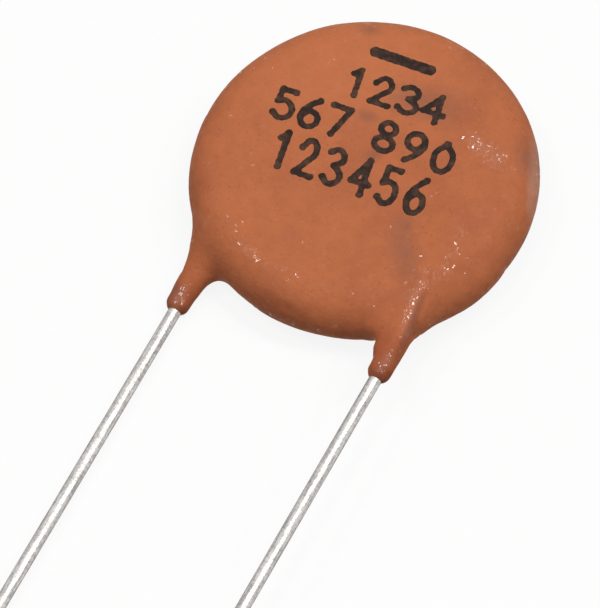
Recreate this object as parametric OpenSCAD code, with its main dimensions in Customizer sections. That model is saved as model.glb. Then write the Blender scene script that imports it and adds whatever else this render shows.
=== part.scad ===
// Radial ceramic disc capacitor, lying on its back.
// The origin is the middle of the flat back face, +Z is the disc's axis and
// the two leads run side by side towards -Y. All sizes are in millimetres.

/* [Coated body] */
// Diameter of the disc over its coating
body_d = 14.5; // [14:0.1:18]
// Thickness over the flat faces of the coating
body_t = 3; // [2.8:0.05:4]
// Width of the rounded rim, from the end of the flat face to the edge
rim_w = 1.5; // [1.2:0.05:1.7]

/* [Ceramic disc] */
// Thickness of the coating round the edge of the ceramic disc
coat_edge = 0.8; // [0.5:0.05:1.2]
// Thickness of the bare ceramic disc
ceramic_t = 1.3; // [0.8:0.05:1.4]
// Bevel on the pressed edges of the ceramic disc
ceramic_bevel = 0.12; // [0.05:0.01:0.3]

/* [Electrodes] */
// Width of the bare border round the silver film on each face of the ceramic
silver_border = 0.4; // [0.3:0.05:1]
// Thickness of the silver film
silver_t = 0.03; // [0.02:0.005:0.06]

/* [Leads] */
// Diameter of the tinned wire
lead_d = 0.55; // [0.45:0.01:0.6]
// Distance between the free stretches of the two leads, seen from the front
lead_pitch = 9.5; // [7.5:0.1:10]
// How far the pair of leads sits to one side of the disc's centre
lead_offset = 0.3; // [0:0.05:0.5]
// Length of each lead below the end of its coated neck
lead_free = 28; // [12:0.5:32]
// Degrees by which each wire turns in towards the disc's middle, above its neck's end
lead_toe = 3; // [1:0.5:4]
// Height of the wire's inner end above the disc's centre line
lead_inner = 0.5; // [0:0.1:1.5]
// Gap between the wire and the silver film, filled by solder
lead_gap = 0.05; // [0.03:0.01:0.1]

/* [Solder joints] */
// Height and width of the solder fillet beside the wire
solder_h = 0.4; // [0.3:0.01:0.5]
// Length of the solder along the wire, between its rounded ends
solder_run = 2.6; // [1:0.1:3]

/* [Coated necks] */
// Reach of the necks down the leads, past the lowest point of the disc
neck_reach = 1.2; // [0.9:0.05:2.5]
// Diameter of a neck at its root, inside the rim of the disc
neck_root_d = 1.4; // [1.2:0.02:1.6]
// Height of a neck's root above the lowest point of the disc
neck_root_rise = 1.6; // [1.3:0.05:2]
// Diameter of a neck at its rounded end
neck_tip_d = 0.96; // [0.84:0.02:1.06]
// How far the front neck hangs off its wire's centre, away from the disc's middle
front_hang = 0.05; // [0:0.01:0.1]
// How far the back neck hangs off its wire's centre, away from the disc's middle
back_hang = 0.02; // [0:0.01:0.1]
// How far the root of the front neck leans off its wire, towards the disc's middle
front_lean = 0.25; // [0:0.01:0.35]
// How far the roots of both necks sink from the wires towards mid-thickness
root_sink = 0.5; // [0.3:0.05:0.6]
// Softness of the hollow where the front neck meets the disc
front_blend = 1.2; // [0.8:0.05:1.5]
// Softness of the hollow where the back neck meets the disc
back_blend = 1.2; // [0.8:0.05:1.5]
// Least thickness of the coating over a wire where its neck leaves the disc
wire_cover = 0.15; // [0.1:0.01:0.2]
// Diameter of the swelling over a wire where it fades out
ridge_d = 0.5; // [0.3:0.02:0.8]
// Distance from the wire's inner end to where the swelling fades out
ridge_stop = 1; // [0.5:0.1:2]

/* [Hidden] */
$fn = 96;

body_r = body_d / 2;
half_t = body_t / 2;
flat_r = body_r - rim_w;
ceramic_d = body_d - 2 * coat_edge;
silver_d = ceramic_d - 2 * silver_border;
lead_r = lead_d / 2;

// The leads lie against opposite faces of the ceramic disc.
film_z = ceramic_t / 2 + silver_t;
lead_z = film_z + lead_gap + lead_r;
front_x = lead_offset + lead_pitch / 2;
back_x = lead_offset - lead_pitch / 2;
neck_end_y = -body_r - neck_reach;
inner_run = (lead_inner - neck_end_y) / cos(lead_toe);

// A neck is a tapering rod beside the wire with a ball for an end, and a sleeve
// that keeps close to the wire. Both go on inside the disc as a swelling that
// fades out beside the wire's inner end.
neck_tip_r = neck_tip_d / 2;
sleeve_r = lead_r + wire_cover;
ball_y = neck_end_y + neck_tip_r;
root_y = -body_r + neck_root_rise;
fade_y = lead_inner - ridge_stop;
rod_radii = [[ball_y, neck_tip_r], [root_y, neck_root_d / 2], [fade_y, ridge_d / 2]];
sleeve_radii = [[ball_y, lead_r], [root_y, sleeve_r], [fade_y, ridge_d / 2]];
sleeve_blend = 0.2; // softness of the hollow between rod and sleeve

// Mesh of the skin: columns round the disc and rows over its face and its rim.
columns = 96;
face_rows = 9;
rim_rows = 18;
rows = face_rows + rim_rows;
column_step = 360 / columns;
edge_pitch = 2 * PI * body_r / columns;

// Rings down a neck: over its hollow, along its rod and over its ball end.
flare_rings = 8;
neck_rings = 5;
ball_rings = 5;
collar_share = 0.45; // place of the first full ring, from the disc's edge to the ball
even_share = 0.5; // how far the points of a ring are turned to even steps

// A neck's opening in the disc's skin: how many millimetres it reaches past the
// neck for each millimetre of softness, on its outer and its inner side.
outer_spread = 0.9;
inner_spread = 1.2;
inner_extra = 0.5; // the hollow is longer on the side that leans towards the rim
front_mouth_end = 11; // rim rows down to which the front neck's opening reaches
back_mouth_start = 6; // rim rows above the back neck's opening
flat_limit = 0.97; // keeps a neck's bearing within the flat face
swing_spread = 30; // degrees over which the columns swing to run along a neck

// Steps that put a guessed point on the skin, and that even out the rings.
settle_steps = 6;
slope_step = 0.01;
relax_passes = 24;
relax_settle = 2;
relax_share = 0.7;

COAT = "#bd6d45";
CERAMIC = "#c9b79a";
SILVER = "#c8c8c4";
SOLDER = "#a3a5a8";
TINNED = "#d4d5d7";

// ---- the skin of the dipped coating ----------------------------------------

function mix(a, b, t) = a + (b - a) * t;

// Joins two fields with a soft hollow, as a wet coat does at an inside corner.
function melt(a, b, soft) = min(a, b) - pow(max(soft - abs(a - b), 0), 2) / (4 * soft);

// Each field is zero on its surface, negative inside and positive outside.
function disc_field(p) =
    let (
        out = max(norm([p.x, p.y]) - flat_r, 0) / rim_w,
        up = (p.z - half_t) / half_t
    )
    (norm([out, up]) - 1) * half_t;

// A neck is [x, z, hang, lean, blend, first row, last row]: its wire's place at the
// neck's end, how far the rod is off the wire all along and at its root, the
// softness of its hollow, and the rows of the disc's skin between which it opens.
FRONT_NECK = [front_x, half_t + lead_z, [front_hang, 0, 0], [-front_lean, 0, -root_sink],
              front_blend, face_rows, face_rows + front_mouth_end];
BACK_NECK = [back_x, half_t - lead_z, [-back_hang, 0, 0], [0, 0, root_sink],
             back_blend, face_rows + back_mouth_start, rows - 1];

function neck_x(neck) = neck[0];
function neck_z(neck) = neck[1];
function neck_hang(neck) = neck[2];
function neck_lean(neck) = neck[3];
function neck_blend(neck) = neck[4];
function first_row(neck) = neck[5];
function last_row(neck) = neck[6];

function wire_axis(neck, y) =
    [neck_x(neck) - sign(neck_x(neck)) * tan(lead_toe) * (y - neck_end_y), y, neck_z(neck)];
function rod_axis(neck, y) =
    wire_axis(neck, y) + neck_hang(neck)
    + neck_lean(neck) * lookup(y, [[ball_y, 0], [root_y, 1], [fade_y, 0]]);
function rod_radius(y) = lookup(y, rod_radii);
function sleeve_radius(y) = lookup(y, sleeve_radii);
function neck_field(p, neck) =
    let (y = min(max(p.y, ball_y), fade_y))
    melt(
        norm(p - rod_axis(neck, y)) - rod_radius(y),
        norm(p - wire_axis(neck, y)) - sleeve_radius(y),
        sleeve_blend
    );

function skin_field(p) =
    melt(
        melt(disc_field(p), neck_field(p, FRONT_NECK), neck_blend(FRONT_NECK)),
        neck_field(p, BACK_NECK), neck_blend(BACK_NECK)
    );

// Moves a point straight on to the skin, and keeps it above the flat back.
function settle(p, steps = settle_steps) =
    steps == 0 ? [p.x, p.y, max(p.z, 0)] :
    let (
        f = skin_field(p),
        slope = [
            skin_field(p + [slope_step, 0, 0]) - f,
            skin_field(p + [0, slope_step, 0]) - f,
            skin_field(p + [0, 0, slope_step]) - f
        ] / slope_step
    )
    settle(p - f * slope / (slope * slope), steps - 1);

// A row crosses the front face, or turns over the rim to the flat back.
function rim_angle(row) = 90 - 180 * (row - face_rows + 1) / rim_rows;
function rim_share(row) = row < face_rows ? 0 : cos(rim_angle(row));
function row_radius(row) =
    row < face_rows ? flat_r * (row + 1) / face_rows : flat_r + rim_w * rim_share(row);
function row_height(row) = row < face_rows ? body_t : half_t + half_t * sin(rim_angle(row));

// Bearings at which a neck's axis crosses the end of the flat face and the edge.
function face_bearing(neck) =
    360 - acos(min(max(neck_x(neck) / flat_r, -flat_limit), flat_limit));
function edge_bearing(neck) = 360 - acos(neck_x(neck) / body_r);
function neck_column(neck) = round(face_bearing(neck) / column_step);

// Columns run straight out from the middle, and swing over the rim beside a
// neck so that they run along it.
function swing(a, neck) =
    let (off = (a - face_bearing(neck) + 540) % 360 - 180)
    (edge_bearing(neck) - face_bearing(neck)) * exp(-pow(off / swing_spread, 2));
function column_bearing(column, row) =
    let (a = column * column_step)
    a + rim_share(row) * (swing(a, FRONT_NECK) + swing(a, BACK_NECK));

disc_points = [
    for (row = [0 : rows - 1], column = [0 : columns - 1])
        let (a = column_bearing(column, row), r = row_radius(row))
        settle([r * cos(a), r * sin(a), row_height(row)])
];

function disc_index(column, row) = row * columns + (column + columns) % columns;

// Columns beside a neck, where its opening in the disc's skin ends.
function outer_columns(neck) =
    ceil((neck_root_d / 2 + outer_spread * neck_blend(neck)) / edge_pitch);
function inner_columns(neck) =
    ceil((neck_root_d / 2 + inner_spread * neck_blend(neck) + inner_extra) / edge_pitch);
function first_column(neck) =
    neck_column(neck) - (neck_x(neck) > 0 ? inner_columns(neck) : outer_columns(neck));
function last_column(neck) =
    neck_column(neck) + (neck_x(neck) > 0 ? outer_columns(neck) : inner_columns(neck));

// Points round a neck's opening, clockwise as seen from outside the disc.
function opening(neck) =
    let (
        c0 = first_column(neck),
        c1 = last_column(neck),
        r0 = first_row(neck),
        r1 = last_row(neck)
    )
    concat(
        [for (c = [c0 : c1]) disc_index(c, r0)],
        [for (r = [r0 + 1 : r1]) disc_index(c1, r)],
        [for (c = [c1 - 1 : -1 : c0]) disc_index(c, r1)],
        [for (r = [r1 - 1 : -1 : r0 + 1]) disc_index(c0, r)]
    );

// Level of the first full ring, just below the hollow between neck and disc.
function collar_y(neck) =
    mix(-sqrt(body_r * body_r - neck_x(neck) * neck_x(neck)), ball_y, collar_share);

// Direction of each point round a neck, turned part of the way to even steps.
function bearing_round(neck, p) = atan2(p.z - neck_z(neck), p.x - neck_x(neck));
function around(neck, mouth) =
    let (start = bearing_round(neck, mouth[0]), n = len(mouth))
    [for (m = [0 : n - 1])
        let (
            turned = (start - bearing_round(neck, mouth[m]) + 720) % 360,
            a = start - mix(turned, 360 * m / n, even_share)
        )
        [cos(a), 0, sin(a)]];

function ring(neck, y, rays) =
    [for (ray = rays) settle(rod_axis(neck, y) + ray * rod_radius(y))];

// Spreads the points of the rings evenly, sliding them over the skin.
function relax(rings, passes) =
    passes == 0 ? rings :
    let (n = len(rings[0]), last = len(rings) - 1)
    relax([
        for (k = [0 : last])
            k == 0 || k == last ? rings[k] :
            [for (m = [0 : n - 1])
                let (
                    beside = rings[k][(m + 1) % n] + rings[k][(m + n - 1) % n],
                    along = rings[k - 1][m] + rings[k + 1][m]
                )
                settle(mix(rings[k][m], (beside + along) / 4, relax_share), relax_settle)]
    ], passes - 1);

function neck_rings_of(neck) =
    let (
        mouth = [for (i = opening(neck)) disc_points[i]],
        rays = around(neck, mouth),
        collar_level = collar_y(neck),
        collar = ring(neck, collar_level, rays),
        flare = [for (k = [1 : flare_rings])
            [for (m = [0 : len(mouth) - 1])
                settle(mix(mouth[m], collar[m], k / flare_rings))]],
        rod = [for (k = [1 : neck_rings])
            ring(neck, mix(collar_level, ball_y, k / neck_rings), rays)],
        ball = [for (k = [1 : ball_rings])
            let (a = 90 * k / (ball_rings + 1))
            [for (ray = rays)
                settle(rod_axis(neck, ball_y) + neck_tip_r * (ray * cos(a) - [0, sin(a), 0]))]]
    )
    concat(relax(concat([mouth], flare, rod), relax_passes), ball);

front_rings = neck_rings_of(FRONT_NECK);
back_rings = neck_rings_of(BACK_NECK);

// All points in one list: the disc's, then each neck's rings and its end.
function flat(lists) = [for (l = lists) each l];
function tail(rings) = [for (k = [1 : len(rings) - 1]) rings[k]];
function end_point(neck) = [neck_x(neck), neck_end_y, neck_z(neck)] + neck_hang(neck);
front_points = concat(flat(tail(front_rings)), [end_point(FRONT_NECK)]);
back_points = concat(flat(tail(back_rings)), [end_point(BACK_NECK)]);
front_base = len(disc_points);
back_base = front_base + len(front_points);
face_centre = back_base + len(back_points);
skin_points = concat(disc_points, front_points, back_points, [settle([0, 0, body_t])]);

// Two triangles for the corners of a patch, split along its shorter diagonal.
function patch(a, b, c, d) =
    norm(skin_points[a] - skin_points[c]) <= norm(skin_points[b] - skin_points[d])
        ? [[a, b, c], [a, c, d]]
        : [[a, b, d], [b, c, d]];

function in_opening(neck, column, row) =
    column >= first_column(neck) && column < last_column(neck)
    && row >= first_row(neck) && row < last_row(neck);

function neck_faces(neck, base) =
    let (
        mouth = opening(neck),
        n = len(mouth),
        count = flare_rings + neck_rings + ball_rings,
        loops = concat(
            [mouth],
            [for (k = [0 : count - 1]) [for (m = [0 : n - 1]) base + k * n + m]]
        ),
        end = base + count * n
    )
    concat(
        [for (k = [0 : count - 1], m = [0 : n - 1])
            let (next = (m + 1) % n)
            each patch(loops[k][m], loops[k][next], loops[k + 1][next], loops[k + 1][m])],
        [for (m = [0 : n - 1]) [loops[count][m], loops[count][(m + 1) % n], end]]
    );

disc_faces = concat(
    [for (c = [0 : columns - 1]) [face_centre, disc_index(c + 1, 0), disc_index(c, 0)]],
    [for (row = [0 : rows - 2], c = [0 : columns - 1])
        if (!in_opening(FRONT_NECK, c, row) && !in_opening(BACK_NECK, c, row))
            each patch(
                disc_index(c, row), disc_index(c + 1, row),
                disc_index(c + 1, row + 1), disc_index(c, row + 1)
            )],
    [[for (c = [0 : columns - 1]) disc_index(c, rows - 1)]]
);

module skin() {
    polyhedron(
        points = skin_points,
        faces = concat(
            disc_faces,
            neck_faces(FRONT_NECK, front_base),
            neck_faces(BACK_NECK, back_base)
        ),
        convexity = 6
    );
}

// ---- what the coating holds -------------------------------------------------

// Frame of one face, at mid-thickness: side 1 is the front, and side -1 is the
// back seen from behind, so that both leads are on the right of their own face.
module on_face(side) {
    translate([0, 0, half_t])
        if (side == 1)
            children();
        else
            rotate([0, 180, 0]) children();
}

// Frame of a wire's inner stretch, which starts at the bend at its neck's end.
module on_inner_stretch(side, x) {
    on_face(side)
        translate([side * x, neck_end_y, 0])
            rotate([0, 0, lead_toe])
                children();
}

module ceramic_shape() {
    r = ceramic_d / 2;
    b = ceramic_bevel;
    h = ceramic_t / 2;
    translate([0, 0, half_t])
        rotate_extrude()
            polygon([[0, -h], [r - b, -h], [r, -h + b], [r, h - b], [r - b, h], [0, h]]);
}

module electrode_shape(side) {
    on_face(side)
        translate([0, 0, ceramic_t / 2])
            cylinder(h = silver_t, d = silver_d);
}

// Cuts a stretch of wire off on the plane that halves its bend: way is 1 for
// what lies above the plane and -1 for what lies below it, as far as reach.
module mitred(way, reach) {
    intersection() {
        children();
        rotate([0, 0, lead_toe / 2])
            translate([-reach / 2, way > 0 ? 0 : -reach, -lead_d])
                cube([reach, reach, 2 * lead_d]);
    }
}

// A wire: its free stretch, and its inner stretch beyond the slight bend.
module lead_shape(side, x) {
    on_face(side)
        translate([side * x, neck_end_y, lead_z]) {
            mitred(-1, lead_free + lead_d)
                translate([0, lead_d, 0])
                    rotate([90, 0, 0])
                        cylinder(h = lead_free + lead_d, d = lead_d);
            mitred(1, inner_run + lead_d)
                rotate([0, 0, lead_toe])
                    translate([0, -lead_d, 0])
                        rotate([-90, 0, 0])
                            cylinder(h = inner_run + lead_d, d = lead_d);
        }
}

// Half of a solder fillet's section: a hollow slope from the wire to the film.
module solder_half_section() {
    difference() {
        square([lead_r + solder_h, solder_h]);
        translate([lead_r + solder_h, solder_h]) circle(r = solder_h);
    }
}

// Fillets along both sides of the wire, with a rounded heap at each end.
module solder_shape(side, x) {
    on_inner_stretch(side, x)
        translate([0, inner_run, film_z]) {
            rotate([90, 0, 0])
                linear_extrude(solder_run) {
                    solder_half_section();
                    mirror([1, 0]) solder_half_section();
                }
            rotate_extrude() solder_half_section();
            translate([0, -solder_run, 0]) rotate_extrude() solder_half_section();
        }
}

module front_lead_shape() { lead_shape(1, front_x); }
module back_lead_shape() { lead_shape(-1, back_x); }

// ---- the pieces -------------------------------------------------------------

module coating() {
    color(COAT)
        difference() {
            skin();
            ceramic_shape();
            for (side = [1, -1])
                electrode_shape(side);
            solder_shape(1, front_x);
            solder_shape(-1, back_x);
            front_lead_shape();
            back_lead_shape();
        }
}

module ceramic_disc() {
    color(CERAMIC) ceramic_shape();
}

module front_electrode() {
    color(SILVER) electrode_shape(1);
}

module back_electrode() {
    color(SILVER) electrode_shape(-1);
}

module front_solder() {
    color(SOLDER)
        difference() {
            solder_shape(1, front_x);
            front_lead_shape();
        }
}

module back_solder() {
    color(SOLDER)
        difference() {
            solder_shape(-1, back_x);
            back_lead_shape();
        }
}

module front_lead() {
    color(TINNED) front_lead_shape();
}

module back_lead() {
    color(TINNED) back_lead_shape();
}

coating();
ceramic_disc();
front_electrode();
back_electrode();
front_solder();
back_solder();
front_lead();
back_lead();
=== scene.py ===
"""Dresses a dipped ceramic disc capacitor: its coat, its print, its two tinned leads and its core."""

import logging
import math
from dataclasses import dataclass, field
from enum import Enum

import bmesh
import bpy
from mathutils import Matrix, Vector, noise
from mathutils.bvhtree import BVHTree


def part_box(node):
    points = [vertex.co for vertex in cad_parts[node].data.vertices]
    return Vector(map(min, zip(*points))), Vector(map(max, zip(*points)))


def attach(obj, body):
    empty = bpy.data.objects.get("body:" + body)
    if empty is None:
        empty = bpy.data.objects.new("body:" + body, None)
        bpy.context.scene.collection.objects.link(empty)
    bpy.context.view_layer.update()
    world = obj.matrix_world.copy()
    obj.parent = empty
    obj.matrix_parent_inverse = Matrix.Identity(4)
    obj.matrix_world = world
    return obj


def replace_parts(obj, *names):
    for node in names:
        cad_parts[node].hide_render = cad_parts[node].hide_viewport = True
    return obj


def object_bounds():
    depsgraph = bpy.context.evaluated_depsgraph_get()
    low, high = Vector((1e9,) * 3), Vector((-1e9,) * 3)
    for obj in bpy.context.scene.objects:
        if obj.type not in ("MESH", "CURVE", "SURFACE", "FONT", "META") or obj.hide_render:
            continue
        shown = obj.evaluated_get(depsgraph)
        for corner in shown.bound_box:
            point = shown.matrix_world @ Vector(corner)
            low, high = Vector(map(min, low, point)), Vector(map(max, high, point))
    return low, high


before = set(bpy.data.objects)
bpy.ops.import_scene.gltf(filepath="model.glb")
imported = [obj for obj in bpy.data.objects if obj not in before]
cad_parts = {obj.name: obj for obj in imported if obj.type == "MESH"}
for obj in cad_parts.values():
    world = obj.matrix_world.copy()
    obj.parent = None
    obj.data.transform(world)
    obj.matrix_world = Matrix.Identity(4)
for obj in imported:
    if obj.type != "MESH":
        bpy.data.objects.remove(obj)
CAD_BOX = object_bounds()

MM = 0.001
BODY = "root"
LOG = logging.getLogger("capacitor")

Tree = bpy.types.NodeTree
Node = bpy.types.Node
Socket = bpy.types.NodeSocket
Material = bpy.types.Material
Shape = bmesh.types.BMesh
Piece = bpy.types.Object


# -------------------------------- shared helpers


def linear(colour: str) -> tuple[float, float, float, float]:
    """Turns an sRGB hex colour into linear RGBA.

    Args:
        colour: the colour as six hex digits after a hash.

    Returns:
        The linear red, green and blue, and an alpha of 1.
    """
    channels = [int(colour[i : i + 2], 16) / 255 for i in (1, 3, 5)]
    red, green, blue = (c / 12.92 if c <= 0.04045 else ((c + 0.055) / 1.055) ** 2.4 for c in channels)
    return red, green, blue, 1.0


def per_mm(size: float) -> float:
    """Gives the texture scale whose features are size millimetres across, on coordinates in metres."""
    return 1 / (size * MM)


def add_node(tree: Tree, kind: str, settings: dict, links: dict) -> Node:
    """Adds one shader node with its settings and its links.

    Args:
        tree: the node tree that gets the node.
        kind: the node's type name.
        settings: attributes of the node, and values of its sockets given by name or number.
        links: output sockets by the name or number of the input that each one feeds.

    Returns:
        The new node.
    """
    node = tree.nodes.new(kind)
    for name, value in settings.items():
        if isinstance(name, str) and hasattr(node, name):
            setattr(node, name, value)
        else:
            node.inputs[name].default_value = value
    for name, output in links.items():
        tree.links.new(output, node.inputs[name])
    return node


def colour_ramp(tree: Tree, factor: Socket, stops: tuple[float, ...], colours: tuple[str, ...]) -> Socket:
    """Maps a factor through a row of colours.

    Args:
        tree: the node tree that gets the ramp.
        factor: the output that runs along the ramp.
        stops: places from 0 to 1, in rising order.
        colours: the hex colour at each of them.

    Returns:
        The ramp's colour output.
    """
    node = add_node(tree, "ShaderNodeValToRGB", {}, {0: factor})
    elements = node.color_ramp.elements
    while len(elements) < len(stops):
        elements.new(0.5)
    for element, stop, colour in zip(elements, stops, colours):
        element.position = stop
        element.color = linear(colour)
    return node.outputs["Color"]


def spread(tree: Tree, factor: Socket, source: tuple[float, float], target: tuple[float, float]) -> Socket:
    """Stretches a factor from one range on to another, and holds it there.

    Args:
        tree: the node tree.
        factor: the value to stretch.
        source: the two values of the factor between which it counts.
        target: what it becomes at each of them.

    Returns:
        The stretched value.
    """
    settings = {"From Min": source[0], "From Max": source[1], "To Min": target[0], "To Max": target[1]}
    return add_node(tree, "ShaderNodeMapRange", settings, {"Value": factor}).outputs[0]


def combined(tree: Tree, operation: str, first: Socket, second: Socket | float) -> Socket:
    """Joins a value with another value or a number by one sum, difference, product or choice.

    Args:
        tree: the node tree.
        operation: the operation's name.
        first: the first value.
        second: the second value, or a plain number.

    Returns:
        The result.
    """
    if isinstance(second, Socket):
        return add_node(tree, "ShaderNodeMath", {"operation": operation}, {0: first, 1: second}).outputs[0]
    return add_node(tree, "ShaderNodeMath", {"operation": operation, 1: second}, {0: first}).outputs[0]


def largest(tree: Tree, values: list[Socket]) -> Socket:
    """Gives the largest of several values at each place.

    Args:
        tree: the node tree.
        values: the values, at least one of them.

    Returns:
        The largest value.
    """
    total = values[0]
    for value in values[1:]:
        total = combined(tree, "MAXIMUM", total, value)
    return total


def seen_or_mirrored(tree: Tree) -> Socket:
    """Gives 1 for what the camera sees, straight or in a mirror or glass, and 0 for light on the part."""
    path = add_node(tree, "ShaderNodeLightPath", {}, {}).outputs
    return largest(tree, [path[name] for name in ("Is Camera Ray", "Is Glossy Ray", "Is Transmission Ray")])


def new_material(name: str) -> tuple[Material, Tree, Node, Socket]:
    """Starts a node material with a shader joined to its output.

    Args:
        name: the finish's name.

    Returns:
        The material, its node tree, its main shader and its object coordinates in metres.
    """
    material = bpy.data.materials.new(name)
    material.use_nodes = True
    tree = material.node_tree
    tree.nodes.clear()
    shader = add_node(tree, "ShaderNodeBsdfPrincipled", {}, {})
    add_node(tree, "ShaderNodeOutputMaterial", {}, {"Surface": shader.outputs[0]})
    place = add_node(tree, "ShaderNodeTexCoord", {}, {}).outputs["Object"]
    return material, tree, shader, place


def dress(piece: Piece, material: Material) -> None:
    """Gives a piece one material in place of what it had."""
    piece.data.materials.clear()
    piece.data.materials.append(material)


def new_piece(name: str, shape: Shape, material: Material) -> Piece:
    """Makes a smooth-shaded object from a finished shape and frees the shape.

    Args:
        name: the piece's name.
        shape: the shape, in metres, in its final place.
        material: the piece's finish.

    Returns:
        The new object, at the origin and linked to the scene.
    """
    mesh = bpy.data.meshes.new(name)
    shape.to_mesh(mesh)
    shape.free()
    mesh.shade_smooth()
    piece = bpy.data.objects.new(name, mesh)
    bpy.context.scene.collection.objects.link(piece)
    dress(piece, material)
    return piece


def to_metres(shape: Shape) -> Shape:
    """Scales a shape drawn in millimetres to metres and gives it back."""
    bmesh.ops.scale(shape, vec=(MM, MM, MM), verts=shape.verts)
    return shape


def keep_in_box(shape: Shape, box: tuple[Vector, Vector]) -> None:
    """Holds a shape inside a box.

    Args:
        shape: the shape, in millimetres, changed in place.
        box: the box's lowest and highest corners, in metres.
    """
    low, high = (corner / MM for corner in box)
    for vert in shape.verts:
        vert.co = Vector(min(max(v, a), b) for v, a, b in zip(vert.co, low, high))


def wire_route(node: str, end_band: float = 0.5, clear_of_ends: float = 1.0) -> list[Vector]:
    """Finds the middle line of a packed lead, all in millimetres.

    Args:
        node: the lead's node.
        end_band: how far from an end a point still counts as the end's.
        clear_of_ends: how far from both ends a point counts as the bend's.

    Returns:
        The middles of its outer end, its bend and its inner end.
    """
    points = [v.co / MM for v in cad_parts[node].data.vertices]
    tip = min(p.y for p in points)
    top = max(p.y for p in points)
    outer = [p for p in points if p.y < tip + end_band]
    inner = [p for p in points if p.y > top - end_band]
    between = [p for p in points if tip + clear_of_ends < p.y < top - clear_of_ends]
    return [(Vector(map(min, *group)) + Vector(map(max, *group))) / 2 for group in (outer, between, inner)]


def remeshed(shape: Shape, voxel: float) -> Shape:
    """Turns closed, even overlapping shells into one even skin of quads.

    Args:
        shape: the shells, with one unit a millimetre, which the call frees.
        voxel: the size of the skin's quads, in millimetres.

    Returns:
        The new skin, with one unit a millimetre.
    """
    mesh = bpy.data.meshes.new("shells")
    shape.to_mesh(mesh)
    shape.free()
    holder = bpy.data.objects.new("shells", mesh)
    bpy.context.scene.collection.objects.link(holder)
    modifier = holder.modifiers.new("even_skin", "REMESH")
    modifier.mode = "VOXEL"
    modifier.voxel_size = voxel
    depsgraph = bpy.context.evaluated_depsgraph_get()
    skin = bmesh.new()
    skin.from_mesh(holder.evaluated_get(depsgraph).data)
    bpy.data.objects.remove(holder)
    bpy.data.meshes.remove(mesh)
    return skin


# -------------------------------- what finishes are made of

# The stretch of a cloud's values in which nearly all of it lies.
CLOUD_RANGE = (0.3, 0.7)
# The middle of a random colour, which makes a random direction when it is taken away.
MIDDLE_GREY = (0.5, 0.5, 0.5)


@dataclass(frozen=True)
class Cloud:
    """Cloudy noise: its size in millimetres, its layers of finer detail and how strong those are."""

    size: float
    detail: int
    fineness: float = 0.6

    def at(self, tree: Tree, place: Socket) -> Socket:
        """Gives the noise, from 0 to 1, at coordinates in metres."""
        settings = {"Scale": per_mm(self.size), "Detail": self.detail, "Roughness": self.fineness}
        return add_node(tree, "ShaderNodeTexNoise", settings, {"Vector": place}).outputs["Fac"]


@dataclass(frozen=True)
class Onset:
    """A cover that follows a value: none of it at start, and the most of it at end."""

    start: float
    end: float
    most: float = 1.0

    def of(self, tree: Tree, value: Socket) -> Socket:
        """Gives the cover for a value."""
        return spread(tree, value, (self.start, self.end), (0.0, self.most))


@dataclass(frozen=True)
class Tooth:
    """A fine relief: its share of full strength, and its depth in millimetres."""

    strength: float
    depth: float

    def over(self, tree: Tree, height: Socket, under: Socket | None = None) -> Socket:
        """Gives the normal of a surface with the relief.

        Args:
            tree: the node tree.
            height: the relief's height, from 0 to 1.
            under: the normal that it is laid over, where there is another relief below it.

        Returns:
            The normal.
        """
        settings = {"Strength": self.strength, "Distance": self.depth * MM}
        links = {"Height": height} if under is None else {"Height": height, "Normal": under}
        return add_node(tree, "ShaderNodeBump", settings, links).outputs[0]


@dataclass(frozen=True)
class Smudge:
    """A soft-edged mark on the coat: its middle, its reach and its angle on the face, in millimetres."""

    x: float
    y: float
    length: float
    width: float
    turn: float

    def reach(self, tree: Tree, place: Socket) -> Socket:
        """Gives how far a place lies from the mark's middle.

        Args:
            tree: the node tree.
            place: the object coordinates.

        Returns:
            The distance, which is 1 at the end of the mark's reach.
        """
        settings = {
            "vector_type": "TEXTURE",
            "Location": (self.x * MM, self.y * MM, 0),
            "Rotation": (0, 0, math.radians(self.turn)),
            "Scale": (self.length * MM, self.width * MM, 1.0),
        }
        local = add_node(tree, "ShaderNodeMapping", settings, {"Vector": place}).outputs[0]
        return add_node(tree, "ShaderNodeVectorMath", {"operation": "LENGTH"}, {0: local}).outputs["Value"]


@dataclass(frozen=True)
class Tint:
    """A colour laid over the coat by soft smudges, and its cover at their middles."""

    colour: str
    cover: float
    smudges: tuple[Smudge, ...]


@dataclass(frozen=True)
class Pool:
    """Wax that ran together over some smudges, and how level it lies: 0 for beads, 1 for glass."""

    level: float
    smudges: tuple[Smudge, ...]


def dull_by(tree: Tree, shader: Node, cloud: Socket, roughness: tuple[float, float]) -> None:
    """Lets a cloud carry a shader's roughness from the one value to the other."""
    tree.links.new(spread(tree, cloud, CLOUD_RANGE, roughness), shader.inputs["Roughness"])


# -------------------------------- finishes


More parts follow.
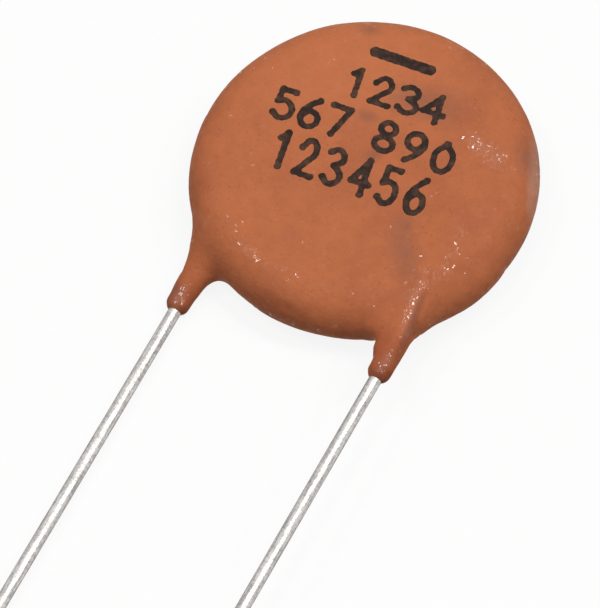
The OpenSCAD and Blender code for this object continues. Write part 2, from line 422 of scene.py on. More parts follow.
@dataclass(frozen=True)
class WaxedPhenolic:
    """Orange-brown phenolic, dipped on in several coats, cured, and soaked in wax.

    The filler leaves a dull skin with fine grain and freckles. The wax stands on it in small
    beads, thick in a few places and rare elsewhere, so that the gloss is broken up into sparks
    where a light strikes it. Where the coat ran, at the necks and on a wrinkle, it is wet-looking.
    The grain and the beads are finer on a real one and are drawn as coarse as they need to show.
    Its sizes are in millimetres, and each colour is laid over the ones named before it.
    """

    name: str = "waxed_phenolic"
    deep: str = "#B06441"
    body: str = "#BA6B44"
    warm: str = "#BD6D45"
    tone_stops: tuple[float, float, float] = (0.32, 0.5, 0.68)
    freckle: str = "#7A3D22"
    bloom: str = "#D1966E"
    broad: Cloud = Cloud(2.2, 3, 0.55)
    mottle: Cloud = Cloud(0.4, 4, 0.55)
    grain: Cloud = Cloud(0.13, 2, 0.55)
    dimple: Cloud = Cloud(0.45, 2, 0.55)
    ragged: Cloud = Cloud(0.9, 4, 0.55)
    spots: Onset = Onset(0.42, 0.68, 0.5)
    freckles: Onset = Onset(0.62, 0.74, 0.35)
    flecks: Onset = Onset(0.36, 0.25, 0.25)
    roughness: tuple[float, float] = (0.54, 0.72)
    shine: float = 0.12
    dimple_tooth: Tooth = Tooth(0.7, 0.045)
    grain_tooth: Tooth = Tooth(0.5, 0.02)
    mark_edge: tuple[float, float] = (1.5, 0.2)
    mark_wander: float = 0.8
    bead: float = 0.12
    bead_tilt: float = 0.56
    bead_onset: Onset = Onset(0.0, 0.06)
    beads_thick: float = 0.5
    beads_rare: float = 0.035
    wet_onset: Onset = Onset(0.0, 0.6)
    wax_roughness: float = 0.1
    wax_ior: float = 1.5
    # The first five tints are painted light and shade; the last is the coat's own stains.
    stains_and_painted_light: tuple[Tint, ...] = (
        # Painted light: a lighter patch over the upper left of the face, where it is more brightly lit.
        Tint("#CD7A4E", 0.4, (Smudge(-3.0, 4.2, 4.2, 3.0, 35),)),
        # Painted shade: the ends of both necks made darker.
        Tint("#8A4226", 0.55, (Smudge(-4.35, -8.0, 1.0, 0.8, 90), Smudge(5.15, -7.8, 1.5, 0.9, 95))),
        # Painted shade: dark collars at the foot of each neck's end, where the coat meets its wire.
        Tint("#6A3620", 0.55, (Smudge(5.25, -8.35, 0.6, 0.35, 0), Smudge(-4.15, -8.4, 0.4, 0.25, 0))),
        # Painted shade: dark lines in the fold along the lower rim and in the groove right of the front
        # ridge.
        Tint("#8E4A30", 0.5, (Smudge(-0.4, -7.05, 1.2, 0.2, -3), Smudge(5.27, -5.4, 1.4, 0.14, 96))),
        # Painted reflection: a pale sheen along the right rim.
        Tint("#E0B9A5", 0.34, (Smudge(6.45, 3.1, 2.5, 0.3, -65),)),
        Tint(
            "#75544A",
            0.42,
            (
                Smudge(3.05, -1.95, 0.5, 0.4, 60),
                Smudge(3.5, -3.0, 1.5, 0.55, -60),
                Smudge(1.1, 3.6, 1.5, 0.8, 5),
                Smudge(-0.75, 1.95, 0.4, 0.25, 0),
                Smudge(0.3, 0.5, 0.5, 0.3, 60),
                Smudge(-2.6, 5.7, 0.5, 0.3, 0),
                Smudge(5.9, 3.3, 0.9, 0.4, -60),
                Smudge(-4.75, -7.9, 0.6, 0.25, 90),
            ),
        ),
    )
    beaded: tuple[Smudge, ...] = (
        Smudge(-2.1, -5.75, 0.7, 0.22, -15),
        Smudge(-0.7, -5.85, 0.8, 0.2, 0),
        Smudge(5.35, -2.1, 1.5, 0.22, 95),
        Smudge(4.9, -3.5, 0.6, 0.2, 10),
        Smudge(4.5, 2.6, 1.1, 0.5, -18),
    )
    pools: tuple[Pool, ...] = (
        Pool(
            0.6,
            (
                Smudge(4.15, 2.7, 0.7, 0.22, -20),
                Smudge(4.9, 2.45, 0.45, 0.4, 0),
                Smudge(5.03, -5.1, 1.15, 0.21, 96),
            ),
        ),
        Pool(0.84, (Smudge(5.15, -7.8, 0.5, 0.2, 90), Smudge(-4.4, -7.95, 0.6, 0.2, 90))),
    )

    def material(self) -> Material:
        """Builds the coat's material.

        Returns:
            The material.
        """
        material, tree, shader, place = new_material(self.name)
        broad = self.broad.at(tree, place)
        mottle = self.mottle.at(tree, place)
        grain = self.grain.at(tree, place)
        base = colour_ramp(tree, broad, self.tone_stops, (self.deep, self.body, self.warm))
        base = self.blend_in(tree, base, self.deep, self.spots.of(tree, mottle))
        base = self.blend_in(tree, base, self.freckle, self.freckles.of(tree, grain))
        base = self.blend_in(tree, base, self.bloom, self.flecks.of(tree, grain))
        for tint in self.stains_and_painted_light:
            base = self.blend_in(tree, base, tint.colour, self.marks(tree, place, tint.smudges, tint.cover))
        tree.links.new(base, shader.inputs["Base Color"])
        dull_by(tree, shader, mottle, self.roughness)
        shader.inputs["Specular IOR Level"].default_value = self.shine
        dimpled = self.dimple_tooth.over(tree, self.dimple.at(tree, place))
        tree.links.new(self.grain_tooth.over(tree, grain, dimpled), shader.inputs["Normal"])
        self.wax(tree, shader, place, dimpled)
        return material

    def blend_in(self, tree: Tree, base: Socket, colour: str, factor: Socket) -> Socket:
        """Mixes a colour into the base by a factor."""
        settings = {"data_type": "RGBA", 7: linear(colour)}
        return add_node(tree, "ShaderNodeMix", settings, {0: factor, 6: base}).outputs[2]

    def marks(self, tree: Tree, place: Socket, smudges: tuple[Smudge, ...], most: float) -> Socket:
        """Gives one cover for several smudges, with ragged soft edges.

        Args:
            tree: the coat's node tree.
            place: the object coordinates.
            smudges: the marks, on the plan of the face.
            most: the cover at the middle of a mark.

        Returns:
            The cover, from 0 to most.
        """
        ragged = self.ragged.at(tree, place)
        settings = {"operation": "MULTIPLY_ADD", 1: 2 * self.mark_wander, 2: -self.mark_wander}
        wander = add_node(tree, "ShaderNodeMath", settings, {0: ragged}).outputs[0]
        edges = [combined(tree, "ADD", smudge.reach(tree, place), wander) for smudge in smudges]
        return largest(tree, [spread(tree, edge, self.mark_edge, (0.0, most)) for edge in edges])

    def wax(self, tree: Tree, shader: Node, place: Socket, normal: Socket) -> None:
        """Lays the wax over the skin: each bead tips its gloss its own way.

        Args:
            tree: the coat's node tree.
            shader: the main shader.
            place: the object coordinates.
            normal: the normal of the skin under the wax.
        """
        level = largest(tree, [self.marks(tree, place, pool.smudges, pool.level) for pool in self.pools])
        cells = add_node(tree, "ShaderNodeTexVoronoi", {"Scale": per_mm(self.bead)}, {"Vector": place})
        own = {"Vector": cells.outputs["Position"]}
        chance = add_node(tree, "ShaderNodeTexWhiteNoise", {}, own).outputs["Value"]
        thick = self.marks(tree, place, self.beaded, self.beads_thick)
        density = combined(tree, "MAXIMUM", thick, self.beads_rare)
        bead = self.bead_onset.of(tree, combined(tree, "SUBTRACT", density, chance))
        wet = self.wet_onset.of(tree, level)
        tree.links.new(largest(tree, [wet, bead]), shader.inputs["Coat Weight"])
        tilt = spread(tree, level, (0.0, 1.0), (self.bead_tilt, 0.0))
        settings = {"operation": "SUBTRACT", 1: MIDDLE_GREY}
        way = add_node(tree, "ShaderNodeVectorMath", settings, {0: cells.outputs["Color"]}).outputs[0]
        settings = {"operation": "SCALE"}
        lean = add_node(tree, "ShaderNodeVectorMath", settings, {0: way, "Scale": tilt}).outputs[0]
        settings = {"operation": "ADD"}
        tipped = add_node(tree, "ShaderNodeVectorMath", settings, {0: normal, 1: lean}).outputs[0]
        settings = {"operation": "NORMALIZE"}
        facing = add_node(tree, "ShaderNodeVectorMath", settings, {0: tipped}).outputs[0]
        tree.links.new(facing, shader.inputs["Coat Normal"])
        shader.inputs["Coat Roughness"].default_value = self.wax_roughness
        shader.inputs["Coat IOR"].default_value = self.wax_ior


@dataclass(frozen=True)
class MarkingInk:
    """Black-brown marking ink, pressed on with a stamp, half soaked in: dull, thin and cloudy."""

    name: str = "marking_ink"
    ink: str = "#2B1F1A"
    thin: str = "#533B2E"
    tone_stops: tuple[float, float] = (0.44, 0.68)
    cloud: Cloud = Cloud(0.35, 4)
    roughness: tuple[float, float] = (0.38, 0.6)
    tooth: Tooth = Tooth(0.4, 0.01)
    shine: float = 0.12

    def material(self) -> Material:
        """Builds the ink's material.

        Returns:
            The material.
        """
        material, tree, shader, place = new_material(self.name)
        cloud = self.cloud.at(tree, place)
        tone = colour_ramp(tree, cloud, self.tone_stops, (self.ink, self.thin))
        tree.links.new(tone, shader.inputs["Base Color"])
        dull_by(tree, shader, cloud, self.roughness)
        tree.links.new(self.tooth.over(tree, cloud), shader.inputs["Normal"])
        shader.inputs["Specular IOR Level"].default_value = self.shine
        return material


@dataclass(frozen=True)
class TinnedCopper:
    """Copper wire drawn through a tin bath: bright and softly streaked along its length.

    Dull freckles break the shine, and it darkens where the eye only grazes it. The streaks of a
    real draw are finer, and these are as coarse as they need to show.
    """

    name: str = "tinned_copper"
    bright: str = "#E0DDDA"
    dull: str = "#A5A19D"
    tone_stops: tuple[float, float] = (0.42, 0.6)
    edge: str = "#4A4643"
    streak: Cloud = Cloud(0.09, 3)
    streak_length: float = 1.2
    freckle: Cloud = Cloud(0.13, 4, 0.65)
    roughness: tuple[float, float] = (0.3, 0.48)
    tooth: Tooth = Tooth(0.25, 0.012)
    metallic: float = 0.8

    def material(self) -> Material:
        """Builds the wire's material.

        Returns:
            The material.
        """
        material, tree, shader, place = new_material(self.name)
        settings = {"Scale": (1.0, self.streak.size / self.streak_length, 1.0)}
        along = add_node(tree, "ShaderNodeMapping", settings, {"Vector": place}).outputs[0]
        both = {2: self.streak.at(tree, along), 3: self.freckle.at(tree, place)}
        worn = add_node(tree, "ShaderNodeMix", {"data_type": "FLOAT", 0: 0.5}, both).outputs[0]
        tone = colour_ramp(tree, worn, self.tone_stops, (self.bright, self.dull))
        tree.links.new(tone, shader.inputs["Base Color"])
        dull_by(tree, shader, worn, self.roughness)
        tree.links.new(self.tooth.over(tree, worn), shader.inputs["Normal"])
        shader.inputs["Metallic"].default_value = self.metallic
        shader.inputs["Specular Tint"].default_value = linear(self.edge)
        return material


@dataclass(frozen=True)
class CoreFinish:
    """A finish inside the coat: two tones in clouds of one size, with its own gloss and tooth."""

    name: str
    tone: str
    other_tone: str
    cloud: Cloud
    roughness: tuple[float, float]
    metallic: float
    tooth: Tooth
    tone_stops: tuple[float, float] = (0.35, 0.65)

    def material(self) -> Material:
        """Builds the finish's material.

        Returns:
            The material.
        """
        material, tree, shader, place = new_material(self.name)
        cloud = self.cloud.at(tree, place)
        tone = colour_ramp(tree, cloud, self.tone_stops, (self.tone, self.other_tone))
        tree.links.new(tone, shader.inputs["Base Color"])
        dull_by(tree, shader, cloud, self.roughness)
        tree.links.new(self.tooth.over(tree, cloud), shader.inputs["Normal"])
        shader.inputs["Metallic"].default_value = self.metallic
        return material


# Barium titanate, pressed and fired: a pale buff biscuit with a dry grain, drawn coarse to show.
FIRED_TITANATE = CoreFinish(
    "fired_titanate", "#D2BE9C", "#BFA57E", Cloud(0.12, 5), (0.55, 0.72), 0.0, Tooth(0.5, 0.008)
)
# Silver paint, screened on and fired: a dull white metal film with a faint tooth, drawn coarse too.
FIRED_SILVER = CoreFinish(
    "fired_silver", "#CFCDC8", "#B3B0AA", Cloud(0.08, 5), (0.37, 0.54), 1.0, Tooth(0.5, 0.004)
)
# Tin-lead solder, flowed and frozen: soft grey, smooth, with cloudy crystals.
SOFT_SOLDER = CoreFinish(
    "soft_solder", "#B9B9B8", "#8E8F91", Cloud(0.3, 5), (0.23, 0.4), 1.0, Tooth(0.5, 0.006)
)


@dataclass(frozen=True)
class StudioPaper:
    """White matt paper under the part: it takes a soft shadow and throws little light back on the part."""

    name: str = "studio_paper"
    seen: str = "#EFEEEC"
    seen_fibre: str = "#F4F3F2"
    lit: str = "#777675"
    fibre: Cloud = Cloud(0.6, 3, 0.5)
    roughness: float = 0.9
    whiteness: float = 0.88

    def material(self) -> Material:
        """Builds the floor's material.

        Returns:
            The material.
        """
        material, tree, shader, place = new_material(self.name)
        seen = seen_or_mirrored(tree)
        fibre = self.fibre.at(tree, place)
        white = colour_ramp(tree, fibre, CLOUD_RANGE, (self.seen, self.seen_fibre))
        settings = {"data_type": "RGBA", 6: linear(self.lit)}
        tone = add_node(tree, "ShaderNodeMix", settings, {0: seen, 7: white}).outputs[2]
        tree.links.new(tone, shader.inputs["Base Color"])
        shader.inputs["Roughness"].default_value = self.roughness
        glow = add_node(tree, "ShaderNodeEmission", {"Strength": 1.0}, {}).outputs[0]
        share = combined(tree, "MULTIPLY", seen, self.whiteness)
        both = {0: share, 1: shader.outputs[0], 2: glow}
        mixed = add_node(tree, "ShaderNodeMixShader", {}, both).outputs[0]
        tree.links.new(mixed, tree.nodes["Material Output"].inputs["Surface"])
        return material


# -------------------------------- the coat


@dataclass(frozen=True)
class Crease:
    """A crest, or a groove where its height is below nought, along a line on the plan.

    It rises and dies away between its two ends, on the front alone unless it goes through to the
    back, and its sizes are in millimetres.
    """

    start: tuple[float, float]
    end: tuple[float, float]
    width: float
    height: float
    through: bool = False

    def lift(self, point: Vector, front: bool) -> float:
        """Works out what the crease adds to the coat at a point.

        Args:
            point: the point, in millimetres.
            front: whether it lies on the front.

        Returns:
            The height, in millimetres.
        """
        if not (front or self.through):
            return 0.0
        start = Vector(self.start)
        run = Vector(self.end) - start
        away = Vector((point.x, point.y)) - start
        along = away.dot(run) / run.length_squared
        if not 0 < along < 1:
            return 0.0
        aside = (away - run * along).length / self.width
        return self.height * math.sin(math.pi * along) ** 0.5 * math.exp(-aside * aside)


@dataclass
class Coat:
    """The dipped coat: one even skin over the core and the roots of the leads, sizes in millimetres.

    A ball of tip_radius, tip_rise above each wire's bend, rounds the end of its neck. The skin is
    drawn in and pushed out by turns, which takes its facets away and keeps its size. Then it gets
    the slow sags, the fine ripple, the wrinkled patch and the creases of one dip.
    """

    finish: WaxedPhenolic = field(default_factory=WaxedPhenolic)
    weld: float = 0.001
    pocket_reach: float = 0.02
    tip_radius: float = 0.51
    tip_rise: float = 0.38
    tip_steps: int = 4
    voxel: float = 0.17
    smoothings: int = 14
    pull_in: float = 0.6
    push_out: float = -0.62
    last_smoothings: int = 2
    last_pull: float = 0.5
    sag_size: float = 3.4
    sag: float = 0.035
    ripple_size: float = 0.95
    ripple: float = 0.010
    ripple_start: tuple[float, float, float] = (7, 3, 1)
    wrinkle: Smudge = Smudge(4.4, 2.6, 1.2, 0.6, -15)
    wrinkle_size: float = 0.22
    wrinkle_height: float = 0.1
    creases: tuple[Crease, ...] = (
        Crease((4.92, -3.95), (5.24, -8.1), 0.24, 0.04),
        Crease((5.23, -4.3), (5.52, -7.6), 0.14, -0.09),
        Crease((-2.2, -6.75), (1.4, -7.15), 0.13, -0.025),
        Crease((4.6, -8.08), (5.85, -8.18), 0.12, -0.05),
        Crease((5.5, -5.8), (7.3, -1.2), 0.4, 0.14, through=True),
        Crease((5.6, -5.55), (6.65, -4.05), 0.4, 0.13, through=True),
        Crease((-1.5, -7.1), (4.4, -6.3), 0.6, 0.07, through=True),
        Crease((3.45, -6.15), (4.7, -7.5), 0.3, 0.14, through=True),
        Crease((-7.1, -0.4), (-5.9, -4.6), 0.5, 0.06, through=True),
        Crease((-5.0, -6.9), (-4.85, -8.5), 0.25, 0.07, through=True),
    )

    def build(self) -> Piece:
        """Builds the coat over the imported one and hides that.

        Returns:
            The coat's piece.
        """
        skin = remeshed(self.outer_shell(), self.voxel)
        self.even_out(skin)
        self.lump(skin)
        piece = new_piece("dipped_coat", to_metres(skin), self.finish.material())
        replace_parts(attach(piece, BODY), "coating")
        return piece

    def outer_shell(self) -> Shape:
        """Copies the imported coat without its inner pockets, with a whole ball at each neck's end.

        Returns:
            The closed, overlapping shells, with one unit a millimetre.
        """
        shell = bmesh.new()
        shell.from_mesh(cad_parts["coating"].data)
        bmesh.ops.remove_doubles(shell, verts=shell.verts, dist=self.weld * MM)
        cores = [self.surface_of(node) for name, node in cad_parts.items() if name != "coating"]
        pocket = [f for f in shell.faces if self.touches(f.calc_center_median(), cores)]
        bmesh.ops.delete(shell, geom=pocket, context="FACES")
        bmesh.ops.scale(shell, vec=(1 / MM, 1 / MM, 1 / MM), verts=shell.verts)
        rims = [e for e in shell.edges if e.is_boundary]
        bmesh.ops.holes_fill(shell, edges=rims, sides=0)
        bmesh.ops.recalc_face_normals(shell, faces=shell.faces)
        for lead in ("front_lead", "back_lead"):
            home = Matrix.Translation(wire_route(lead)[1] + Vector((0, self.tip_rise, 0)))
            steps, radius = self.tip_steps, self.tip_radius
            bmesh.ops.create_icosphere(shell, subdivisions=steps, radius=radius, matrix=home)
        return shell

    def surface_of(self, node: Piece) -> BVHTree:
        """Makes a tree of a node's surface for distance questions."""
        faces = [p.vertices for p in node.data.polygons]
        return BVHTree.FromPolygons([v.co for v in node.data.vertices], faces)

    def touches(self, point: Vector, cores: list[BVHTree]) -> bool:
        """Tells whether a point of the coat lies on a piece inside it."""
        reach = self.pocket_reach * MM
        return any(core.find_nearest(point, reach)[0] is not None for core in cores)

    def even_out(self, skin: Shape) -> None:
        """Smooths facets away without shrinking, then halves the quads.

        Args:
            skin: the remeshed coat, which is changed in place.
        """
        for _ in range(self.smoothings):
            self.smooth(skin, self.pull_in)
            self.smooth(skin, self.push_out)
        bmesh.ops.subdivide_edges(skin, edges=skin.edges, cuts=1, use_grid_fill=True, smooth=0.0)
        for _ in range(self.last_smoothings):
            self.smooth(skin, self.last_pull)

    def smooth(self, skin: Shape, pull: float) -> None:
        """Draws each point towards its neighbours by a share, or away from them by one below nought."""
        axes = {"use_axis_x": True, "use_axis_y": True, "use_axis_z": True}
        bmesh.ops.smooth_vert(skin, verts=skin.verts, factor=pull, **axes)

    def lump(self, skin: Shape) -> None:
        """Adds the sags, ripples, wrinkles and creases of a dipped coat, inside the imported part's box.

        Args:
            skin: the coat, which is changed in place.
        """
        skin.normal_update()
        turn = Matrix.Rotation(-math.radians(self.wrinkle.turn), 2)
        for vert in skin.verts:
            point = vert.co
            height = self.sag * noise.noise(point / self.sag_size)
            height += self.ripple * noise.noise(point / self.ripple_size + Vector(self.ripple_start))
            local = turn @ Vector((point.x - self.wrinkle.x, point.y - self.wrinkle.y))
            away = math.hypot(local.x / self.wrinkle.length, local.y / self.wrinkle.width)
            if away < 1 and vert.normal.z > 0:
                height += self.wrinkle_height * (1 - away) * noise.noise(point / self.wrinkle_size)
            height += sum(crease.lift(point, vert.normal.z > 0) for crease in self.creases)
            vert.co = point + vert.normal * height
        keep_in_box(skin, CAD_BOX)


# -------------------------------- the print


class Mark(Enum):
    """Plain counting digits as pen strokes, in a cell one unit high, and a plain bar."""

    ONE = (((0.18, 0.80), (0.40, 1.0)), ((0.40, 1.0), (0.40, 0.0)))
    TWO = (
        ((0.05, 0.74), (0.33, 1.0), (0.62, 0.72), (0.36, 0.36), (0.03, 0.0)),
        ((0.03, 0.0), (0.68, 0.0)),
    )
    THREE = (
        ((0.06, 0.88), (0.36, 1.0), (0.62, 0.76), (0.32, 0.54)),
        ((0.32, 0.54), (0.67, 0.27), (0.34, 0.0), (0.02, 0.14)),
    )
    FOUR = (((0.50, 0.0), (0.50, 1.0)), ((0.50, 1.0), (0.0, 0.32)), ((0.0, 0.32), (0.70, 0.32)))
    FIVE = (
        ((0.62, 1.0), (0.13, 1.0)),
        ((0.13, 1.0), (0.08, 0.55)),
        ((0.08, 0.55), (0.40, 0.62), (0.66, 0.31), (0.36, 0.0), (0.02, 0.12)),
    )
    SIX = (
        ((0.55, 1.0), (0.17, 0.66), (0.03, 0.27), (0.34, 0.0), (0.66, 0.28), (0.36, 0.56), (0.07, 0.36)),
    )
    SEVEN = (((0.02, 1.0), (0.68, 1.0)), ((0.68, 1.0), (0.24, 0.0)))
    EIGHT = (
        ((0.34, 0.54), (0.07, 0.77), (0.34, 1.0), (0.61, 0.77), (0.34, 0.54)),
        ((0.34, 0.54), (0.67, 0.26), (0.34, 0.0), (0.01, 0.26), (0.34, 0.54)),
    )
    NINE = (
        ((0.13, 0.0), (0.51, 0.34), (0.65, 0.73), (0.34, 1.0), (0.02, 0.72), (0.32, 0.44), (0.61, 0.64)),
    )
    NOUGHT = (((0.34, 1.0), (0.67, 0.5), (0.34, 0.0), (0.01, 0.5), (0.34, 1.0)),)
    BAR = (((0.0, 0.5), (2.2, 0.5)),)


@dataclass
class PrintRow:
    """One row of marks, sizes in millimetres: the marks, where their middles lie, how big they are.

    The ink stands thicker by blob at the ends of each stroke.
    """

    name: str
    marks: tuple[Mark, ...]
    middles: tuple[tuple[float, float], ...]
    height: float
    width: float
    stroke: float
    blob: float = 1.15


@dataclass
class Print:
    """The stamped rows on the front of the coat, sizes in millimetres.

    The rows are drawn flat, turned and slanted as the stamp was held, and dropped on the coat from
    above it. Their edges fray by ragged, and their tubes and balls have a few steps each.
    """

    coat: Piece
    finish: MarkingInk = field(default_factory=MarkingInk)
    turn: float = 4.8
    slant: float = -0.1
    thickness: float = 0.012
    voxel: float = 0.05
    ragged: float = 0.03
    ragged_size: float = 0.16
    drop_from: float = 10.0
    bevel_steps: int = 3
    curve_steps: int = 10
    ball_steps: int = 3
    rows: tuple[PrintRow, ...] = (
        PrintRow("print_bar", (Mark.BAR,), ((-0.67, 4.92),), height=1.0, width=1.12, stroke=0.5, blob=1.0),
        PrintRow(
            "print_upper",
            (Mark.ONE, Mark.TWO, Mark.THREE, Mark.FOUR),
            ((-2.0, 3.18), (-0.76, 3.29), (0.42, 3.38), (1.55, 3.48)),
            height=1.2,
            width=1.2,
            stroke=0.27,
        ),
        PrintRow(
            "print_middle",
            (Mark.FIVE, Mark.SIX, Mark.SEVEN, Mark.EIGHT, Mark.NINE, Mark.NOUGHT),
            ((-4.15, 1.0), (-2.98, 1.1), (-1.76, 1.24), (0.36, 1.44), (1.66, 1.5), (2.95, 1.6)),
            height=1.32,
            width=1.2,
            stroke=0.28,
        ),
        PrintRow(
            "print_lower",
            (Mark.ONE, Mark.TWO, Mark.THREE, Mark.FOUR, Mark.FIVE, Mark.SIX),
            ((-3.3, -0.93), (-2.1, -0.83), (-0.9, -0.74), (0.32, -0.64), (1.54, -0.55), (2.78, -0.46)),
            height=1.62,
            width=1.08,
            stroke=0.29,
        ),
    )

    def build(self) -> list[Piece]:
        """Builds every row as one thin piece on the coat.

        Returns:
            The rows' pieces.
        """
        ink = self.finish.material()
        faces = [p.vertices for p in self.coat.data.polygons]
        ground = BVHTree.FromPolygons([v.co / MM for v in self.coat.data.vertices], faces)
        return [self.row_piece(row, ink, ground) for row in self.rows]

    def row_piece(self, row: PrintRow, ink: Material, ground: BVHTree) -> Piece:
        """Strokes a row's marks, joins them into one skin and lays it on the coat.

        Args:
            row: the row.
            ink: the ink's material.
            ground: the coat's surface, in millimetres.

        Returns:
            The row's piece.
        """
        skin = remeshed(self.strokes(row), self.voxel)
        self.lay(skin, row.stroke, ground)
        to_metres(skin)
        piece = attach(new_piece(row.name, skin, ink), BODY)
        return piece

    def strokes(self, row: PrintRow) -> Shape:
        """Makes every stroke of a row as a round-ended tube on the plan of the face.

        Args:
            row: the row.

        Returns:
            The overlapping tubes, with one unit a millimetre, about a height of nought.
        """
        tubes = bmesh.new()
        lean = Matrix(((1, self.slant, 0, 0), (0, 1, 0, 0), (0, 0, 1, 0), (0, 0, 0, 1)))
        turn = Matrix.Rotation(math.radians(self.turn), 4, "Z")
        for mark, (x, y) in zip(row.marks, row.middles):
            sides = [point[0] for stroke in mark.value for point in stroke]
            middle = (max(sides) + min(sides)) / 2
            size = Matrix.Diagonal((row.width, row.height, 1, 1))
            home = Matrix.Translation((x, y, 0)) @ turn @ lean @ size
            home = home @ Matrix.Translation((-middle, -0.5, 0))
            for stroke in mark.value:
                places = [home @ Vector((px, py, 0)) for px, py in stroke]
                self.tube(tubes, places, row.stroke / 2, row.blob)
        return tubes

    def tube(self, tubes: Shape, places: list[Vector], radius: float, blob: float) -> None:
        """Adds one pen stroke: a smooth tube through its places, with a ball at each end.

        Args:
            tubes: the shape that gets the stroke.
            places: the stroke's places, in millimetres.
            radius: half the stroke's width.
            blob: how much thicker the ink stands at the stroke's ends.
        """
        curve = bpy.data.curves.new("stroke", "CURVE")
        curve.dimensions = "3D"
        curve.bevel_depth = radius
        curve.bevel_resolution = self.bevel_steps
        curve.resolution_u = self.curve_steps
        curve.use_fill_caps = True
        spline = curve.splines.new("BEZIER")
        spline.bezier_points.add(len(places) - 1)
        for point, place in zip(spline.bezier_points, places):
            point.co = place
            point.handle_left_type = point.handle_right_type = "AUTO"
        holder = bpy.data.objects.new("stroke", curve)
        tubes.from_mesh(holder.to_mesh())
        holder.to_mesh_clear()
        bpy.data.objects.remove(holder)
        bpy.data.curves.remove(curve)
        for end in (places[0], places[-1]):
            home = Matrix.Translation(end)
            size = radius * blob
            bmesh.ops.create_icosphere(tubes, subdivisions=self.ball_steps, radius=size, matrix=home)

    def lay(self, skin: Shape, stroke: float, ground: BVHTree) -> None:
        """Frays a skin's edges, presses it thin and drapes it on the coat.

        Args:
            skin: the row's skin, in millimetres, changed in place.
            stroke: the width of the row's strokes.
            ground: the coat's surface, in millimetres.
        """
        press = self.thickness / stroke
        skin.normal_update()
        for vert in skin.verts:
            fray = self.ragged * noise.noise(vert.co / self.ragged_size)
            x = vert.co.x + vert.normal.x * fray
            y = vert.co.y + vert.normal.y * fray
            hit = ground.ray_cast(Vector((x, y, self.drop_from)), Vector((0, 0, -1)))[0]
            vert.co = Vector((x, y, hit.z + vert.co.z * press))


# -------------------------------- the leads


@dataclass
class Lead:
    """One tinned lead: straight outside the coat, turned in a little inside it, sizes in millimetres.

    Its rings have sides points and lie a step apart. The tin swells and thins by swell, and both
    ends are softened by cut.
    """

    node: str
    name: str
    sides: int = 40
    step: float = 0.35
    radius: float = 0.275
    swell: float = 0.006
    swell_size: float = 1.1
    cut: float = 0.04
    cut_steps: int = 3

    def build(self, finish: Material) -> Piece:
        """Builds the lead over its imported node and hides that.

        Args:
            finish: the tinned wire's material.

        Returns:
            The lead's piece.
        """
        shape = self.wire()
        self.roughen(shape)
        piece = new_piece(self.name, to_metres(shape), finish)
        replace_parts(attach(piece, BODY), self.node)
        return piece

    def wire(self) -> Shape:
        """Draws the wire ring by ring along its route, with softened ends.

        Returns:
            The closed wire, with one unit a millimetre.
        """
        tip, bend, root = wire_route(self.node)
        shape = bmesh.new()
        home = Matrix.Translation(tip) @ Matrix.Rotation(math.radians(90), 4, "X")
        bmesh.ops.create_circle(shape, cap_ends=True, segments=self.sides, radius=self.radius, matrix=home)
        ring = shape.edges[:]
        for start, end in ((tip, bend), (bend, root)):
            steps = max(2, round((end - start).length / self.step))
            for _ in range(steps):
                grown = bmesh.ops.extrude_edge_only(shape, edges=ring)["geom"]
                ring = [g for g in grown if isinstance(g, bmesh.types.BMEdge)]
                verts = [g for g in grown if isinstance(g, bmesh.types.BMVert)]
                bmesh.ops.translate(shape, verts=verts, vec=(end - start) / steps)
        bmesh.ops.holes_fill(shape, edges=ring, sides=0)
        rims = [e for e in shape.edges if any(len(f.verts) > 4 for f in e.link_faces)]
        form = {"segments": self.cut_steps, "profile": 0.5, "affect": "EDGES", "material": -1}
        bmesh.ops.bevel(shape, geom=rims, offset=self.cut, **form)
        bmesh.ops.recalc_face_normals(shape, faces=shape.faces)
        return shape

    def roughen(self, shape: Shape) -> None:
        """Gives the wire the slight swells of its tin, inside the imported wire.

        Args:
            shape: the wire, in millimetres, changed in place.
        """
        shape.normal_update()
        for vert in shape.verts:
            vert.co -= vert.normal * self.swell * abs(noise.noise(vert.co / self.swell_size))
        keep_in_box(shape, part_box(self.node))


# -------------------------------- the core


@dataclass
class Core:
    """What the coat hides: the fired disc, its two silver films and the solder that holds the leads."""

    finishes: dict[str, CoreFinish] = field(
        default_factory=lambda: {
            "ceramic_disc": FIRED_TITANATE,
            "front_electrode": FIRED_SILVER,
            "back_electrode": FIRED_SILVER,
            "front_solder": SOFT_SOLDER,
            "back_solder": SOFT_SOLDER,
        }
    )

    def build(self) -> list[Piece]:
        """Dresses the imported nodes, whose shapes stay as they are.

        Returns:
            The dressed nodes.
        """
        made = {finish: finish.material() for finish in dict.fromkeys(self.finishes.values())}
        for node, finish in self.finishes.items():
            dress(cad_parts[node], made[finish])
        return [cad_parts[node] for node in self.finishes]


# -------------------------------- the studio


@dataclass
class SoftBox:
    """One flat lamp that faces the part: its way from there, its far side across the leads, and its power.

    The distance and the sides are in metres, and the power is in watts.
    """

    name: str
    way: tuple[float, float, float]
    across: float
    along: float
    power: float
    distance: float = 0.6


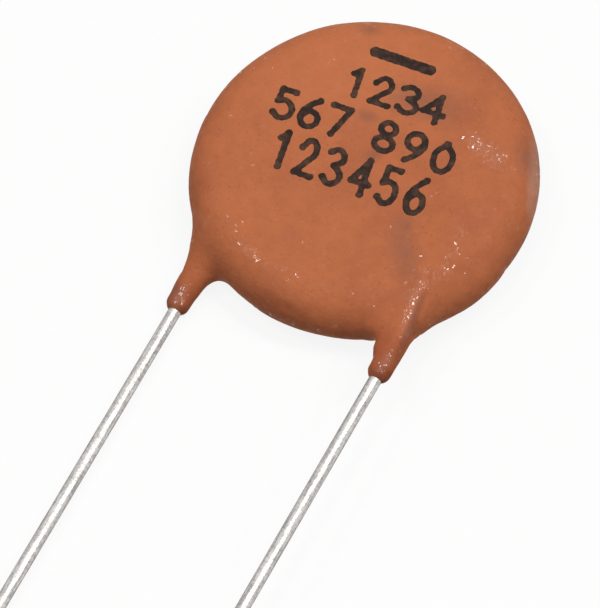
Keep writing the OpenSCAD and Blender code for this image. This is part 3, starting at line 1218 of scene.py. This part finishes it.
@dataclass
class Studio:
    """A white floor, a white surround, one strip of soft light across the leads, and six small lamps.

    The floor's side and its gap below the part are in metres. The surround lights the part by ambient,
    a share of the full white that is seen.
    """

    floor_side: float = 1.6
    floor_parts: int = 8
    floor_gap: float = 0.00002
    ambient: float = 0.38
    paper: StudioPaper = field(default_factory=StudioPaper)
    lamps: tuple[SoftBox, ...] = (
        SoftBox("strip", (0.48, 0.4, 0.78), 0.6, 0.2, 0.12),
        SoftBox("lamp_right", (0.32, 0.2, 0.925), 0.18, 0.08, 0.95),
        SoftBox("lamp_left", (-0.45, -0.1, 0.89), 0.1, 0.1, 0.5),
        SoftBox("lamp_front", (-0.08, -0.1, 0.99), 0.06, 0.06, 0.25),
        SoftBox("lamp_low", (-0.17, -0.23, 0.958), 0.06, 0.06, 0.25),
        SoftBox("lamp_over", (-0.03, 0.28, 0.96), 0.06, 0.06, 0.25),
        SoftBox("lamp_far_right", (0.6, 0.25, 0.76), 0.08, 0.08, 0.45),
    )

    def build(self) -> None:
        """Lays the floor and lights the part."""
        shape = bmesh.new()
        grid = {"x_segments": self.floor_parts, "y_segments": self.floor_parts, "size": self.floor_side / 2}
        bmesh.ops.create_grid(shape, matrix=Matrix.Translation((0, 0, -self.floor_gap)), **grid)
        new_piece("studio_floor", shape, self.paper.material())
        self.surround()
        for lamp in self.lamps:
            self.hang(lamp)

    def surround(self) -> None:
        """Fills the world with even white light, full white where the camera looks."""
        world = bpy.data.worlds.new("surround")
        world.use_nodes = True
        tree = world.node_tree
        tree.nodes.clear()
        seen = seen_or_mirrored(tree)
        strength = spread(tree, seen, (0.0, 1.0), (self.ambient, 1.0))
        light = add_node(tree, "ShaderNodeBackground", {}, {"Strength": strength}).outputs[0]
        add_node(tree, "ShaderNodeOutputWorld", {}, {"Surface": light})
        bpy.context.scene.world = world

    def hang(self, lamp: SoftBox) -> None:
        """Hangs one lamp, facing the part.

        Args:
            lamp: the lamp.
        """
        data = bpy.data.lights.new(lamp.name, "AREA")
        data.shape = "RECTANGLE"
        data.size = lamp.across
        data.size_y = lamp.along
        data.energy = lamp.power
        holder = bpy.data.objects.new(lamp.name, data)
        way = Vector(lamp.way).normalized()
        across = Vector((0, 1, 0)).cross(way).normalized()
        turned = Matrix((across, way.cross(across), way)).transposed().to_4x4()
        holder.matrix_world = Matrix.Translation(way * lamp.distance) @ turned
        bpy.context.scene.collection.objects.link(holder)


@dataclass
class Viewpoint:
    """The camera: a long lens high over the front of the disc, turned a little about its own axis."""

    azimuth: float = 34.6
    elevation: float = 61.1
    roll: float = -7.75
    distance: float = 0.302
    lens: float = 432.8
    nearest: float = 0.01
    farthest: float = 10.0
    middle: Vector = field(default_factory=lambda: Vector((0, 0, 1.5 * MM)))
    right_of_aim: float = 2.656 * MM
    above_aim: float = 5.181 * MM

    def build(self) -> None:
        """Makes the camera and gives it to the scene."""
        data = bpy.data.cameras.new("viewpoint")
        data.lens = self.lens
        data.clip_start = self.nearest
        data.clip_end = self.farthest
        camera = bpy.data.objects.new("viewpoint", data)
        azimuth, elevation = math.radians(self.azimuth), math.radians(self.elevation)
        outward = Vector((math.sin(azimuth), -math.cos(azimuth), 0))
        back = outward * math.cos(elevation) + Vector((0, 0, math.sin(elevation)))
        level = Vector((0, 0, 1)).cross(back).normalized()
        roll = Matrix.Rotation(math.radians(self.roll), 3, back)
        right = roll @ level
        up = back.cross(right)
        place = self.middle + back * self.distance
        aim = self.middle - right * self.right_of_aim - up * self.above_aim
        away = (place - aim).normalized()
        side = up.cross(away).normalized()
        turned = Matrix((side, away.cross(side), away)).transposed().to_4x4()
        camera.matrix_world = Matrix.Translation(place) @ turned
        bpy.context.scene.collection.objects.link(camera)
        bpy.context.scene.camera = camera


def report(pieces: list[Piece]) -> None:
    """Logs each piece with its number of faces."""
    for piece in pieces:
        LOG.info("%s: %d faces", piece.name, len(piece.data.polygons))


def main() -> None:
    """Dresses the capacitor and sets its studio."""
    logging.basicConfig(level=logging.INFO, format="%(name)s: %(message)s")
    scene = bpy.context.scene
    scene.view_settings.view_transform = "Standard"
    Viewpoint().build()
    report(Core().build())
    coat = Coat().build()
    report([coat])
    report(Print(coat).build())
    wire = TinnedCopper().material()
    for node, name in (("front_lead", "front_wire"), ("back_lead", "back_wire")):
        report([Lead(node, name).build(wire)])
    Studio().build()


if __name__ == "__main__":
    main()
